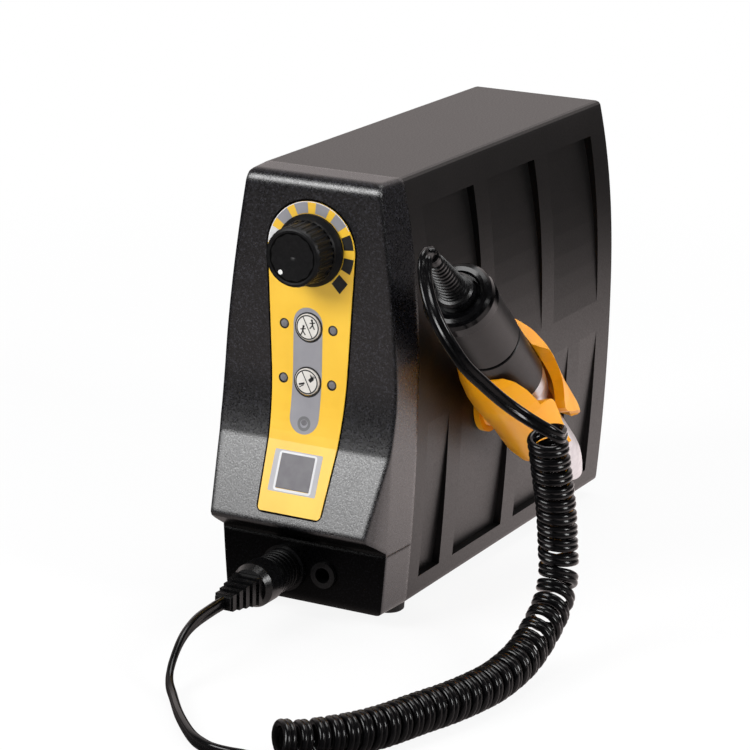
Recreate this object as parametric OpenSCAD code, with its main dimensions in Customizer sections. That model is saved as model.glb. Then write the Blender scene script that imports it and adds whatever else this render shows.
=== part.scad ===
/* [Console] */
// Width of the housing at its widest height
body_w = 79.5; // [76:0.5:84]
// Depth from the recessed front wall to the rear edge
body_d = 206.4; // [196:0.2:220]
// Height of the top above the table
body_top = 180; // [176:1:188]
// Height at which the side walls are widest
bulge_z = 88; // [84:1:94]
// How far each side wall draws in at the bottom
foot_in = 3.5; // [2:0.1:5]
// How far each side wall draws in at the top
top_in = 9; // [7:0.1:10]
// Wall thickness of the mouldings
wall = 2.5; // [2:0.1:3]
// Rounding of the long edges
edge_r = 2.5; // [1.5:0.1:3.5]
// Height of the rubber feet
foot_h = 6; // [4:0.5:8]
// Diameter of the rubber feet
foot_d = 14; // [10:0.5:16]

/* [Side flutes] */
// Number of flutes in the upper row of each side
flute_count = 3; // [2:1:4]
// Depth of a flute at its closed end
flute_depth = 3.4; // [2:0.1:4]
// Width of the rib left between two flutes
flute_rib = 12; // [9:0.5:16]
// Distance from the rear edge to the last flute
flute_rear = 14; // [12:0.5:20]
// Margin above and below the flutes
flute_margin = 12.8; // [11:0.2:18]

/* [Front bezel] */
// Distance from the recessed front wall back to the seam
seam_y = 19.8; // [17:0.1:23]
// Set-back of the upright face behind the recessed front wall plane
face_y = 3; // [2:0.1:4]
// Height where the upright face starts to sweep forward
sweep_z = 104; // [98:1:110]
// Radius of the forward sweep
sweep_r = 107; // [95:1:120]
// Height of the crease between the sweep and the chin
crease_z = 73; // [68:0.5:78]
// Angle of the chin from the vertical
chin_angle = 22.8; // [20:0.2:26]
// Height of the chin's lip
chin_z = 41; // [40:0.5:46]
// Height of the recessed front wall
base_z = 33; // [31:0.5:36]
// Half width of the chin's lip
chin_half = 34.4; // [32:0.2:36]
// Radius between the face and the top
brow_r = 5; // [3:0.2:7]

/* [Control panel] */
// Half width of the label at the knob
label_half = 19.3; // [18:0.1:21]
// Half width of the label at its foot
label_foot_half = 14; // [12:0.1:16]
// Height of the label's lower edge
label_z = 46.6; // [45:0.2:50]
// Thickness of the label
label_t = 0.5; // [0.4:0.1:0.8]
// Height of the knob's axis
knob_z = 151; // [149:0.5:153]
// Knob diameter
knob_d = 24; // [20:0.5:26]
// Diameter of the knob's skirt
skirt_d = 29; // [27:0.5:32]
// Length of the knob
knob_l = 15; // [12:0.5:18]
// Turning angle of the knob
knob_turn = 280; // [240:5:300]
// Diameter of the push buttons
button_d = 10.8; // [9:0.1:12]
// Travel of the push buttons
button_travel = 0.8; // [0.5:0.1:1]
// Height of the direction button
direction_z = 119.8; // [117:0.2:122]
// Height of the mode button
mode_z = 97.6; // [95:0.2:100]
// Height of the power lamp
power_led_z = 80.8; // [79:0.2:83]
// Sideways distance of the lamps from the buttons
led_x = 10.9; // [10:0.1:12]
// Width of the display opening
display_w = 15; // [13:0.5:17]
// Height of the display opening along the chin
display_h = 14; // [12:0.5:15]

/* [Sockets] */
// Sideways place of the handpiece socket
socket_x = -8.5; // [-10:0.5:-6]
// Sideways place of the foot pedal jack
pedal_x = 9.5; // [8.5:0.5:16]
// Height of both sockets
socket_z = 19.4; // [18:0.1:21]
// Diameter of the foot pedal jack's bore
pedal_d = 6.4; // [6.3:0.1:6.6]
// Length of the plug and its strain relief
plug_l = 49; // [44:1:56]
// Diameter of the plug's grip
plug_d = 18; // [15:0.5:18]

/* [Handpiece] */
// Angle of the handpiece above the horizontal
tool_tilt = 41.5; // [38:0.5:45]
// Diameter of the upper sleeve
sleeve_d = 28; // [27:0.1:28]
// Diameter of the lower sleeve
grip_d = 27.2; // [26:0.1:27.4]
// Diameter of the nose
nose_d = 17.4; // [15:0.1:18.5]
// Length of the nose from the chuck ring to its tip
nose_l = 74; // [66:1:78]
// Length of the chuck ring
ring_l = 14; // [10:0.5:16]
// Diameter of the burr shank that the collet takes
shank_d = 2.35; // [2.3:0.05:3.2]
// Turning angle of the chuck ring
chuck_turn = 60; // [40:5:90]
// Length of the cord boot
boot_l = 27.5; // [20:0.5:30]

/* [Cradle] */
// Clearance around the handpiece
cradle_gap = 0.35; // [0.2:0.05:0.5]
// Wall thickness of the cradle
cradle_wall = 3.6; // [2.5:0.1:4]
// Diameter of the mounting disc
disc_d = 25; // [24:0.5:32]
// Distance of the handpiece's axis from the housing's widest point
cradle_out = 20.3; // [19.5:0.1:22]

/* [Cord] */
// Width of the flat twin cord
cord_w = 5.6; // [4.6:0.1:5.8]
// Width of the cord where it is wound into curls
curl_w = 4.4; // [4:0.1:4.8]
// Thickness of the cord
cord_t = 2.8; // [2:0.1:3]
// Outer diameter of the coil
coil_d = 16; // [14:0.1:16.2]

/* [Hidden] */
$fn = 48;

// clearances
run_gap = 0.05;    // a shaft in its hole
fit_gap = 0.3;     // a part in its opening
cut = 0.1;         // how far a cut runs past a face

// housing
body_half = body_w / 2;
body_h = body_top - foot_h;
outline_steps = 36;
flute_mid = bulge_z + 6;
flute_pitch = (body_d - flute_rear - seam_y - flute_rib + flute_rib) / flute_count;
flute_top = body_top - flute_margin;
flute_low = foot_h + flute_margin - 4;

// front bezel
chin_dz = sweep_z - crease_z;
crease_angle = asin(chin_dz / sweep_r);
chin_drop = sweep_r * (1 - cos(crease_angle));
lip_y = face_y - chin_drop - tan(chin_angle) * (sweep_z - chin_dz - chin_z - 1.5);
front_half = body_half - 0.95;
front_foot_in = 3.7;
front_top_in = 10.2;

// rear wall and its fittings
rear_y = body_d - 1.2;
rear_t = 2.2;
inlet_x = -14;
inlet_z = 40;
switch_x = 17;
switch_z = 40;
fuse_z = 66;
screw_low = foot_h + 14;
screw_high = body_top - 20;
screw_places = [[-24, screw_low], [24, screw_low], [-21, screw_high], [21, screw_high]];
cup_top = -8;
cup_bottom = -88;
slot_dir = 16;
slot_low = 8.8;

// origin: middle of the footprint of console and cradle, on the table
tool_x = body_half + cradle_out;
cup_r = grip_d / 2 + cradle_gap;
cup_out = cup_r + cradle_wall;
cup_max = cup_out + 1.5;
fuse_out = 7.8;
lobe_r = cup_out + 1.1;
mid_x = (tool_x + lobe_r * cos(asin(slot_low / lobe_r) - slot_dir) - body_half) / 2;
mid_y = (lip_y + rear_y + fuse_out) / 2;

// panel
controls_x = -0.6;
board_y = 12;
board_t = 1.6;
button_proud = 0.8;
led_r = 1.8;
flange_t = 1;

// handpiece stations, measured along its axis from the groove, towards the cord
tool_y = 37.5;
tool_z = 115.5;
cap_s = 29.4;
cap_l = 9.6;
grip_s = -31.6;
nose_s = grip_s - ring_l - 0.4;
tip_s = nose_s - nose_l;
sleeve_wall = 1.4;
can_r = grip_d / 2 - sleeve_wall - 0.1;
can_low = grip_s + 4;
can_high = cap_s - 1;
shaft_r = 1.5;
spindle_r = 3;
bearing_r = 5.5;
collet_r = 2.4;
rim_s = -11.7;
rim_drop = 20.9;
rim_dir = -10;
lower_dir = 140;
disc_s = -60;

// cord routes, in the console's frame
lead_points = [
    [61, -19.5, 160.5], [62.4, -22.6, 156.5], [65.5, -26.8, 151.5], [69.5, -30, 145], [73.7, -30.8, 138],
    [77.4, -28.8, 131], [81.4, -24.2, 122.5], [85.5, -17.5, 115], [90.3, -10, 107.2], [95.6, -4.6, 101.4],
    [101, -1.8, 97.6], [105.6, 0.4, 94.8], [108, 3.3, 92.3]
];
// each coil point: x, y, z and the turns made by then
coil_points = [
    [101, 8, 91, 0], [102, 11, 76.5, 2.5], [103, 15, 58.5, 5.6], [104, 16, 42, 8.5],
    [104.7, 15.5, 34, 9.65], [105.5, 12, 27.2, 10.65], [106.3, 6, 22, 11.65], [107, -2, 18, 12.85],
    [107.5, -12.5, 13.8, 14.3], [107.5, -25, 10.4, 16.1], [106.7, -42, 8.7, 18.55], [104.5, -56, 8.3, 20.8],
    [100.8, -71, 8.2, 23.3], [96, -85, 8.2, 25.75], [91, -100.5, 8.2, 28.6], [86.4, -111, 8.3, 30.6],
    [82, -119, 8.6, 32.2], [77, -127.2, 9.1, 33.8], [72.8, -134, 9.8, 34.9], [67.9, -142.2, 11.4, 36.1667]
];
tail_points = [
    [61, -139.6, 3.4], [56, -139.6, 3], [50, -141.3, 3], [44, -141.7, 3], [38.5, -140.2, 3],
    [29.7, -134.7, 3], [16.2, -121, 3], [4.5, -106.5, 3.1], [-1.8, -99, 5], [-5.2, -92, 8.8], [-7.4, -81.5, 15], [-8.3, -70, 18.4]
];
coil_ref = [1, -0.3, 0];
coil_start_turn = 120;
end_flare = 0.9;    // the last curl is wider
straight_run = 3.2;
lead_ref = [0.5, -0.8, 0.3];
tail_ref = [1, 1, 0];
coil_rings = 8;
cord_sides = 8;
lead_steps = 3;
tail_steps = 3;

// ---- helpers ----

module in_frame() {
    translate([-mid_x, -mid_y, 0]) children();
}

// polygon (x, z) drawn from y0 to y1
module along_y(y0, y1) {
    translate([0, y1, 0]) rotate([90, 0, 0]) linear_extrude(y1 - y0) children();
}

// polygon (y, z) drawn from x0 to x1
module along_x(x0, x1) {
    translate([x0, 0, 0]) rotate([90, 0, 90]) linear_extrude(x1 - x0) children();
}

// cylinder along y from y0 to y1
module rod_y(r, y0, y1) {
    translate([0, y0, 0]) rotate([-90, 0, 0]) cylinder(r = r, h = y1 - y0);
}

// the handpiece's own axes: z towards the cord, x away from the housing
module on_tool() {
    in_frame() translate([tool_x, tool_y, tool_z]) rotate([90 - tool_tilt, 0, 0]) children();
}

// ring between two radii, from z0 to z1
module tube(r_out, r_in, z0, z1) {
    translate([0, 0, z0]) difference() {
        cylinder(r = r_out, h = z1 - z0);
        translate([0, 0, -cut]) cylinder(r = r_in, h = z1 - z0 + 2 * cut);
    }
}

// half width of the housing at height z
function side_x(z) = body_half - (z < bulge_z
    ? foot_in * pow((bulge_z - z) / (bulge_z - foot_h), 2)
    : top_in * pow((z - bulge_z) / (body_top - bulge_z), 2.5));

// half width of the bezel at height z, in the plane of the recessed front wall
function front_x(z) = front_half - (z < bulge_z
    ? front_foot_in * pow((bulge_z - z) / (bulge_z - foot_h), 2)
    : front_top_in * pow((z - bulge_z) / (body_top - bulge_z), 1.5));

// depth of the flutes at height z, less than 0 where there are none
function flute_in(z) = flute_depth * max(
    (z - flute_mid) / (flute_top - flute_mid),
    (flute_mid - 14 - z) / (flute_mid - 14 - flute_low));

// half width of the cavity behind the flutes
function cavity_x(z) = side_x(z) - max(0, min(flute_depth, flute_in(z)));

// closed outline from a half width function, drawn in by inset
function half_outline(hx, inset) = let (
        r = max(edge_r - inset, 0.4),
        z0 = foot_h + inset + r,
        z1 = body_top - inset - r)
    concat(
        [for (a = [-90:30:-30]) [hx(z0) - inset - r + r * cos(a), z0 + r * sin(a)]],
        [for (i = [0:outline_steps]) let (z = z0 + (z1 - z0) * i / outline_steps) [hx(z) - inset, z]],
        [for (a = [30:30:90]) [hx(z1) - inset - r + r * cos(a), z1 + r * sin(a)]]);

function outline(hx, inset) = let (p = half_outline(hx, inset))
    concat(p, [for (i = [len(p) - 1:-1:0]) [-p[i][0], p[i][1]]]);

// the swept part of the face, moved outwards by out
function sweep_points(out) = [for (i = [0:8]) let (a = crease_angle * i / 8)
    [face_y - sweep_r + (sweep_r - out) * cos(a), sweep_z - (sweep_r - out) * sin(a)]];

// side view of the bezel: face, sweep, chin and recessed front wall
function bezel_profile(inset) = let (
        r = brow_r - inset,
        yi = lip_y + inset * 1.6)
    concat(
        [[seam_y + cut * (inset > 0 ? 1 : 0), body_top - inset]],
        [for (a = [90:-15:0]) [face_y + brow_r - r * sin(90 - a), body_top - brow_r + r * cos(90 - a)]],
        sweep_points(-inset),
        [[yi, chin_z + 1.5 + inset * 0.6], [yi + 1.5, chin_z - 0.5 + inset * 0.9],
            [inset, base_z + inset], [inset, foot_h + edge_r], [inset + 1, foot_h + inset],
            [seam_y + cut * (inset > 0 ? 1 : 0), foot_h + inset]]);

// height along the swept face: the y of the face at height z
function face_at(z) = z >= sweep_z ? face_y
    : z > sweep_z - chin_dz
        ? face_y - sweep_r + sqrt(sweep_r * sweep_r - (sweep_z - z) * (sweep_z - z))
        : face_y - chin_drop - tan(chin_angle) * (sweep_z - chin_dz - z);

// ---- housing ----

module bezel_block(inset) {
    intersection() {
        union() {
            hull() {
                along_y(seam_y - 0.02, seam_y + cut * (inset > 0 ? 1 : 0))
                    polygon(outline(function (z) side_x(z), inset));
                along_y(-0.01, 0.01) polygon(outline(function (z) front_x(z), inset));
            }
            hull() {
                along_y(-0.01, 0.01) polygon(outline(function (z) front_x(z), inset));
                translate([-chin_half + inset, lip_y - 1, foot_h + edge_r])
                    cube([2 * (chin_half - inset), 0.1, sweep_z - foot_h]);
            }
        }
        along_x(-body_w, body_w) polygon(bezel_profile(inset));
    }
}

module button_holes(r, y0, y1) {
    for (z = [direction_z, mode_z]) translate([controls_x, 0, z]) rod_y(r, y0, y1);
}

function led_spots() = concat(
    [for (z = [direction_z, mode_z], side = [-1, 1]) [controls_x + side * led_x, z]],
    [[controls_x, power_led_z]]);

module led_places() {
    for (p = led_spots()) translate([p[0], 0, p[1]]) children();
}

display_z = label_z + 15.5;
// the display's own axes: z out of the chin's slope, y up along it
module on_chin() {
    translate([controls_x, face_at(display_z), display_z]) rotate([90 - chin_angle, 0, 0]) children();
}

// the front is two mouldings that meet just below the chin
split_z = base_z - 1;

module front_bezel() {
    color([0.09, 0.09, 0.1]) in_frame() {
        for (z = [77, 133], side = [-1, 1]) translate([side * 21.5, 0, z])
            rod_y(3, face_at(z) + 1.6, board_y);
        difference() {
            bezel_shell();
            translate([-body_w, -40, 0]) cube([2 * body_w, 80, split_z]);
        }
    }
}

module socket_panel() {
    color([0.09, 0.09, 0.1]) in_frame() difference() {
        bezel_shell();
        translate([-body_w, -40, split_z]) cube([2 * body_w, 80, body_top]);
    }
}

module bezel_shell() {
    difference() {
        bezel_block(0);
        bezel_block(wall);
        translate([0, 0, knob_z]) rod_y(4.6, -5, 9);
        button_holes(button_d / 2 + 0.3, -5, 9);
        led_places() rod_y(led_r + fit_gap, -5, 12);
        on_chin() translate([-display_w / 2, -display_h / 2, -6]) cube([display_w, display_h, 8]);
        translate([socket_x, 0, socket_z]) rod_y(8.1, -2, wall + 1);
        translate([pedal_x, 0, socket_z]) rod_y(4.3, -2, wall + 1);
    }
}

// flutes that deepen away from the middle of the wall, in two staggered rows
module flute_row(z0, z1, y0, y1, count, first) {
    step = (z1 - z0) / 8;
    floor_points = [for (i = [-1:8]) let (z = z0 + step * i)
        [side_x(z) - flute_depth * (z - z0) / (z1 - z0), z]];
    for (i = [first:count - 1], side = [0, 1]) mirror([side, 0, 0]) along_y(
            max(y0 + i * flute_pitch + flute_rib / 2, seam_y + flute_rib * 0.75),
            min(y0 + (i + 1) * flute_pitch - flute_rib / 2, y1))
        polygon(concat(floor_points, [[body_w, z1], [body_w, z0 - step]]));
}

// posts inside the housing that take the rear screws
module rear_posts() {
    for (p = screw_places) difference() {
        union() {
            translate([p[0], 0, p[1]]) rod_y(4, rear_y - rear_t - 12, rear_y - rear_t);
            translate([p[0] - 4, rear_y - rear_t - 12, p[1] < 90 ? foot_h + wall - 1 : p[1]])
                cube([8, 12, p[1] < 90 ? p[1] - foot_h - wall + 1 : body_top - wall + 1 - p[1]]);
        }
        translate([p[0], 0, p[1]]) rod_y(1.55, rear_y - rear_t - 13, rear_y);
    }
}

module housing() {
    color([0.11, 0.1, 0.11]) in_frame() {
        housing_shell();
        rear_posts();
    }
}

module housing_shell() {
    last = body_d - flute_rear;
    difference() {
        along_y(seam_y, body_d) polygon(outline(function (z) side_x(z), 0));
        along_y(seam_y - cut, body_d + cut) polygon(outline(function (z) cavity_x(z), wall));
        flute_row(flute_mid, flute_top, seam_y + 5, last, flute_count, 0);
        flute_row(flute_mid - 14, flute_low, seam_y + 5 - flute_pitch / 2, last, flute_count + 1, 0);
        for (y = foot_places_y(), side = [-1, 1]) translate([side * foot_x, y, 0])
            cylinder(d = 3.2, h = foot_h + wall + cut);
        translate([body_half - 6, disc_y(), disc_z()]) rotate([0, 90, 0]) cylinder(d = 3.4, h = 12);
    }
}

foot_x = 25;
function foot_places_y() = [26, body_d - 20];
function disc_y() = tool_y - disc_s * cos(tool_tilt);
function disc_z() = tool_z + disc_s * sin(tool_tilt);

module rear_panel() {
    color([0.1, 0.1, 0.1]) in_frame() difference() {
        along_y(rear_y - rear_t, rear_y) polygon(outline(function (z) cavity_x(z), wall + fit_gap));
        translate([inlet_x - 13.5, rear_y - 5, inlet_z - 9.5]) cube([27, 10, 19]);
        translate([switch_x - 9.8, rear_y - 5, switch_z - 6.8]) cube([19.6, 10, 13.6]);
        translate([switch_x, 0, fuse_z]) rod_y(6.2, rear_y - 5, rear_y + 5);
        for (z = [92:7:148]) translate([-16, rear_y - 5, z]) cube([32, 10, 3]);
        for (p = screw_places) translate([p[0], 0, p[1]]) rod_y(1.6, rear_y - 5, rear_y + 5);
    }
}

module feet() {
    color([0.05, 0.05, 0.05]) in_frame() for (y = foot_places_y(), side = [-1, 1])
        translate([side * foot_x, y, 0]) rotate_extrude()
            polygon([[1.7, 1.8], [3.4, 1.8], [3.4, 0], [foot_d / 2 - 1, 0],
                [foot_d / 2 - 0.3, 0.6], [foot_d / 2, foot_h], [1.7, foot_h]]);
}

module foot_screws() {
    color([0.6, 0.6, 0.62]) in_frame() for (y = foot_places_y(), side = [-1, 1])
        translate([side * foot_x, y, 0.4]) rotate_extrude()
            polygon([[0, 0.6], [0.9, 0.6], [0.9, 0], [2.9, 0], [2.9, 1.3], [1.5, 1.4],
                [1.5, foot_h + wall + 2], [0, foot_h + wall + 2]]);
}

module rear_screws() {
    color([0.6, 0.6, 0.62]) in_frame() for (p = screw_places)
        translate([p[0], rear_y, p[1]]) rotate([90, 0, 0]) rotate_extrude()
            polygon([[0, -0.8], [0.8, -0.8], [0.8, -1.6], [2.2, -1.6], [2.8, 0], [1.5, 0],
                [1.5, 6], [0, 6]]);
}

// ---- control panel ----

// strip of thickness t that follows the face between two heights
module face_strip(z0, z1, t) {
    inner = concat([[face_y, z1]], sweep_points(0), [[face_at(z0), z0]]);
    outer = concat([[face_y - t, z1]], sweep_points(t), [[face_at(z0) - t, z0 - t / 2]]);
    along_x(-body_half, body_half) polygon(concat(inner, [for (i = [len(outer) - 1:-1:0]) outer[i]]));
}

module label_outline(grow = 0) {
    difference() {
        union() {
            translate([0, knob_z]) circle(r = label_half + grow);
            polygon([[-label_half - grow, knob_z], [-label_foot_half - grow, label_z - grow],
                [label_foot_half + grow, label_z - grow], [label_half + grow, knob_z]]);
        }
        for (side = [-1, 1]) translate([side * (label_foot_half + grow - 2), label_z + 2 - grow])
            difference() {
                translate([side > 0 ? 0 : -4, -4]) square(4);
                circle(r = 2.2);
            }
    }
}

module control_label() {
    color([0.95, 0.75, 0.2]) in_frame() difference() {
        intersection() {
            face_strip(label_z - 1, knob_z + label_half + 1, label_t);
            along_y(lip_y - 5, face_y + 2) label_outline();
        }
        translate([0, 0, knob_z]) rod_y(4.6, -5, 5);
        button_holes(button_d / 2 + 0.3, -5, 5);
        led_places() rod_y(led_r + fit_gap, -5, 5);
        on_chin() translate([-display_w / 2 - 0.1, -display_h / 2 - 0.1, -3])
            cube([display_w + 0.2, display_h + 0.2, 6]);
    }
}

module display_window() {
    color([0.35, 0.36, 0.38, 0.8]) in_frame() on_chin()
        translate([-display_w / 2 + 0.05, -display_h / 2 + 0.05, -1])
            cube([display_w - 0.1, display_h - 0.1, 1.6]);
}

module display_module() {
    color([0.2, 0.2, 0.2]) in_frame() on_chin() {
        translate([-display_w / 2 + 0.3, -display_h / 2 + 0.3, -7]) cube([display_w - 0.6, display_h - 0.6, 5.8]);
        translate([-display_w / 2 - 2, -display_h / 2 - 2, -8.6]) cube([display_w + 4, display_h + 4, 1.6]);
    }
}

module indicator_leds() {
    color([0.35, 0.36, 0.38]) in_frame() for (p = led_spots())
        translate([p[0], board_y, p[1]]) rotate([90, 0, 0]) rotate_extrude() polygon([
            [0, 0], [led_r + 0.5, 0], [led_r + 0.5, 1.2], [led_r, 1.2], [led_r, board_y - face_at(p[1])],
            [led_r - 0.4, board_y - face_at(p[1]) + 0.5], [led_r - 1, board_y - face_at(p[1]) + 0.72],
            [0, board_y - face_at(p[1]) + 0.8]]);
}

module control_board() {
    color([0.1, 0.35, 0.2]) in_frame() difference() {
        translate([-25, board_y, 73]) cube([50, board_t, 64]);
        for (z = [77, 133], side = [-1, 1]) translate([side * 21.5, 0, z]) rod_y(1.2, board_y - 1, board_y + 4);
    }
}

// tactile switches on the board
module button_switches() {
    color([0.15, 0.15, 0.16]) in_frame() for (z = [direction_z, mode_z]) translate([controls_x, 0, z]) {
        translate([-3, 9.6, -3]) cube([6, board_y - 9.6, 6]);
        rod_y(1.6, 9.1, 9.8);
    }
}

module push_button(z) {
    front = face_at(z) - label_t - button_proud;
    in_frame() translate([controls_x, 0, z]) {
        rod_y(button_d / 2, front + 0.4, face_y + wall + 0.3);
        translate([0, front + 0.4, 0]) rotate([90, 0, 0]) cylinder(r1 = button_d / 2, r2 = button_d / 2 - 0.4, h = 0.4);
        rod_y(button_d / 2 + 1, face_y + wall + 0.2, face_y + wall + 0.2 + flange_t);
        rod_y(1.6, face_y + wall + flange_t, 9.1 - button_travel - 0.2);
    }
}

module direction_button() {
    color([0.93, 0.93, 0.9]) push_button(direction_z);
}

module mode_button() {
    color([0.93, 0.93, 0.9]) push_button(mode_z);
}

module at_knob() {
    in_frame() translate([0, 0, knob_z]) children();
}

pot_shaft_r = 3;
knob_base_y = face_y - label_t - fit_gap;

module speed_pot() {
    color([0.5, 0.5, 0.52]) at_knob() difference() {
        union() {
            rod_y(8.3, face_y + wall, face_y + wall + 9);
            rod_y(4.5, face_y - label_t - 2.4, face_y + wall + 0.1);
            rotate([0, 30, 0]) translate([0, face_y - label_t - 2, 0]) rotate([-90, 0, 0])
                cylinder(r = 6, h = 2, $fn = 6);
        }
        rod_y(pot_shaft_r + run_gap, -5, face_y + wall + 7);
    }
}

module pot_shaft() {
    color([0.75, 0.75, 0.77]) at_knob() rod_y(pot_shaft_r, knob_base_y - knob_l + 3, face_y + wall + 6.5);
}

module knob() {
    r = knob_d / 2;
    color([0.06, 0.06, 0.065]) at_knob() translate([0, knob_base_y, 0]) rotate([90, 0, 0]) difference() {
        rotate_extrude() polygon([[0, 0], [skirt_d / 2, 0], [skirt_d / 2, 1.2], [skirt_d / 2 - 0.8, 2],
            [r + 0.8, 2.8], [r + 0.3, 4], [r, knob_l - 1.4], [r - 0.5, knob_l - 0.3],
            [r - 1.3, knob_l], [r - 2, knob_l - 0.2], [0, knob_l - 0.9]]);
        translate([0, 0, -cut]) cylinder(r = 6.6, h = 3.4);
        translate([0, 0, -cut]) cylinder(r = pot_shaft_r, h = knob_l - 3 + cut);
        for (a = [0:12:348]) rotate([0, 0, a]) translate([r + 0.75, 0, 3.6]) cylinder(r = 1, h = knob_l, $fn = 24);
        rotate([0, 0, pointer_dir]) translate([8.2, 0, knob_l - 1.6]) cylinder(r = 1, h = 3);
    }
}

pointer_dir = 231;
module knob_pointer() {
    color([0.9, 0.9, 0.9]) at_knob() translate([0, knob_base_y, 0]) rotate([90, 0, 0])
        rotate([0, 0, pointer_dir]) translate([8.2, 0, knob_l - 1.6]) cylinder(r = 0.97, h = 1.3);
}

// ---- inside the housing ----

floor_z = foot_h + wall;
driver_w = 52;
driver_d = 40;
driver_y = rear_y - rear_t - 13 - driver_d;
driver_z = floor_z + 4;
core_place = [0, driver_y - 32, floor_z];

module transformer_core() {
    color([0.45, 0.45, 0.47]) in_frame() translate(core_place) difference() {
        translate([-25, -24, 0]) cube([50, 48, 42]);
        for (side = [-1, 1]) translate([side * 12.75 - 4.25, -25, 8]) cube([8.5, 50, 26]);
    }
}

module transformer_coil() {
    color([0.75, 0.55, 0.2]) in_frame() translate(core_place) difference() {
        translate([-16.9, -29, 8.1]) cube([33.8, 58, 25.8]);
        translate([-8.6, -24.1, 0]) cube([17.2, 48.2, 42]);
    }
}

module driver_board() {
    color([0.1, 0.35, 0.2]) in_frame() {
        translate([-driver_w / 2, driver_y, driver_z]) cube([driver_w, driver_d, board_t]);
        for (side = [-1, 1], y = [4, driver_d - 4]) translate([side * (driver_w / 2 - 7), driver_y + y, floor_z])
            cylinder(r = 2.5, h = driver_z - floor_z);
        translate([-18, driver_y + 8, driver_z + board_t]) cylinder(r = 6, h = 18);
        translate([10, driver_y + 22, driver_z + board_t]) cylinder(r = 5, h = 10);
    }
}

module heat_sink() {
    color([0.7, 0.7, 0.72]) in_frame() translate([-2, driver_y + 3, driver_z + board_t]) {
        cube([26, 3, 26]);
        for (i = [0:5]) translate([i * 4.8, 0, 0]) cube([1.6, 12, 26]);
    }
}

// ---- sockets and plug ----

module at_socket(x) {
    in_frame() translate([x, 0, socket_z]) children();
}

module handpiece_socket() {
    color([0.12, 0.12, 0.13]) at_socket(socket_x) difference() {
        union() {
            rod_y(9.6, -1.8, 0);
            rod_y(8, -0.1, 14);
        }
        rod_y(4.4, -3, 11);
    }
}

module pedal_jack() {
    color([0.5, 0.5, 0.52]) at_socket(pedal_x) difference() {
        union() {
            rod_y(5.4, -1.5, 0);
            rod_y(4.2, -0.1, 18);
        }
        rod_y(pedal_d / 2, -3, 15);
    }
}

relief_l = plug_l * 0.42;
module cord_plug() {
    grip = plug_l - relief_l;
    color([0.07, 0.07, 0.075]) at_socket(socket_x) {
        rod_y(4.35, -2, 10);
        rotate([90, 0, 0]) rotate_extrude() polygon(concat(
            [[0, 1.9], [plug_d / 2 - 1.6, 1.9], [plug_d / 2 - 0.8, 2.6]],
            [for (i = [0:4], p = [[0, 0], [0, 1.2], [-0.9, 1.5], [-0.9, 2.2]])
                [plug_d / 2 - 0.7 + p[0], 3.4 + i * 2.5 + p[1]]],
            [[plug_d / 2, 17], [plug_d / 2, grip - 3], [plug_d / 2 - 1.5, grip], [0, grip]]));
        for (i = [0:4]) {
            k = i / 4;
            w = 12.5 - 4.5 * k;
            h = 11 - 4.5 * k;
            y = -grip - 1.6 - k * (relief_l - 4.2);
            translate([-w / 2, y - 1.3, -h / 2]) cube([w, 2.6, h]);
        }
        translate([-3.4, -plug_l, -2.4]) cube([6.8, relief_l + 1, 4.8]);
    }
}

module mains_inlet() {
    color([0.08, 0.08, 0.085]) in_frame() translate([inlet_x, rear_y, inlet_z]) {
        difference() {
            union() {
                translate([-15.5, 0, -11.5]) cube([31, 2, 23]);
                translate([-13.3, -19, -9.3]) cube([26.6, 19.1, 18.6]);
            }
            translate([-12, -16, -8]) cube([24, 19, 16]);
        }
        for (p = [[-7, 2.2], [7, 2.2], [0, -3.2]]) translate([p[0] - 1, -16.5, p[1] - 2]) cube([2, 14, 4]);
    }
}

module switch_frame() {
    color([0.08, 0.08, 0.085]) in_frame() translate([switch_x, rear_y, switch_z]) difference() {
        union() {
            translate([-11.5, 0, -8.5]) cube([23, 1.8, 17]);
            translate([-9.6, -14, -6.6]) cube([19.2, 14.1, 13.2]);
        }
        translate([-8.4, -8, -5.6]) cube([16.8, 12, 11.2]);
        translate([-9, -2.5, 0]) rotate([0, 90, 0]) cylinder(r = 1, h = 18);
    }
}

rocker_tilt = 9;
module power_rocker() {
    color([0.7, 0.08, 0.06]) in_frame() translate([switch_x, rear_y - 2.5, switch_z])
        rotate([rocker_tilt, 0, 0]) difference() {
            union() {
                translate([-8.2, 0, 0]) rotate([90, 0, 90]) linear_extrude(16.4)
                    polygon([[-2.5, -1.5], [-1, -4.6], [4.8, -4.7], [4.1, 0], [4.8, 4.7], [-1, 4.6], [-2.5, 1.5]]);
                translate([-8.95, 0, 0]) rotate([0, 90, 0]) cylinder(r = 0.95, h = 17.9);
            }
        }
}

module fuse_holder() {
    color([0.08, 0.08, 0.085]) in_frame() translate([switch_x, rear_y, fuse_z]) {
        rod_y(7.5, 0, 2);
        rod_y(6, -22, 0.1);
        rod_y(5, 2, 7);
        translate([-4, 6, -0.6]) cube([8, fuse_out - 6, 1.2]);
    }
}

// ---- cradle ----

// wedge that keeps what lies below an oblique plane: s falls by drop across one radius towards dir
module oblique_cut(s, drop, dir, above) {
    rotate([0, 0, dir]) translate([0, 0, s]) rotate([0, atan(drop / cup_out), 0])
        translate([-60, -60, above ? 0 : -90]) cube([120, 120, 90]);
}

// opening of the cradle seen from outside: distance across it and station along the handpiece
slot_edge = [
    [-10.5, -100], [-10.3, -67], [-9, -51.2], [-8.8, -40], [-9.2, -37.2], [-10.2, -35], [-11.8, -33.2],
    [-14, -32], [-14, 20], [7.5, 20], [7.5, -29], [6.8, -35], [5.2, -39.6], [2.4, -43.2], [-1.2, -46.2],
    [-3.8, -49.2], [-5.2, -53], [-4.8, -56.6], [-2.6, -61.5], [1.2, -67.5], [4.5, -74.5], [8, -83], [8, -100]];

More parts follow.
